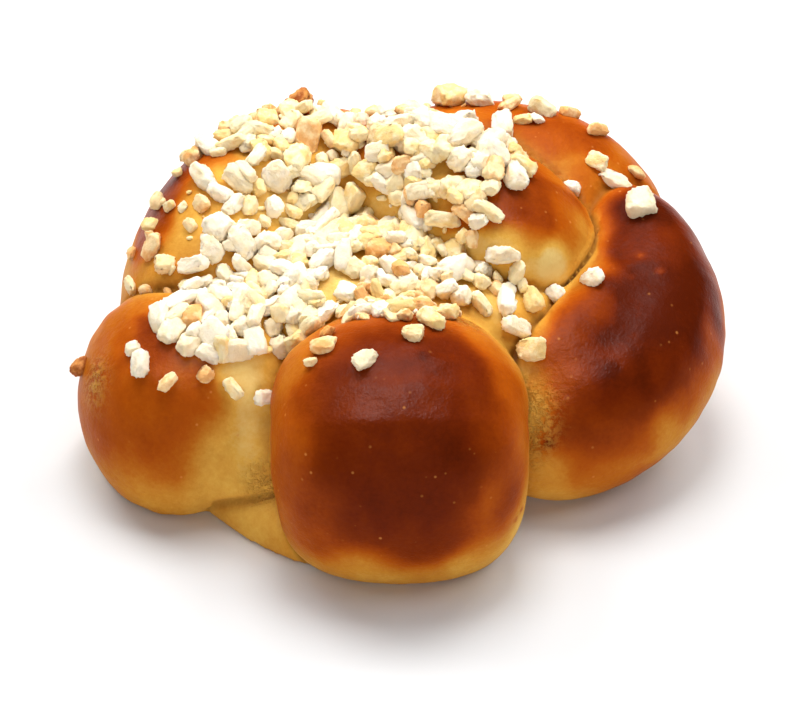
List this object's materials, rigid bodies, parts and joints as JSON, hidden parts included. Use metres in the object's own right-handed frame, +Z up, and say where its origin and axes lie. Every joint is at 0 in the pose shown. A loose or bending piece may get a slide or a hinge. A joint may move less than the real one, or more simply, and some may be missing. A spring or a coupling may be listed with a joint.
{
  "type": "sugar-topped brioche bun",
  "caption": "Knot-shaped sweet bread roll of plump overlapping lobes around a sugar-filled hollow, with coarse sugar grains fused to its crust.",
  "frame": {"origin": "centre of the plan at the flat underside, on the surface the bun rests on", "axes": "+X to the bun's right as seen from its front lobe, +Y to the back, +Z up"},
  "size_m": [0.1126, 0.0996, 0.052],
  "materials": {
    "crust": "egg-washed baked crust, satin, golden at the creases and brown on the crowns, with white sugar grains"
  },
  "bodies": {
    "root": {"bun": "crust"}
  },
  "joints": []
}
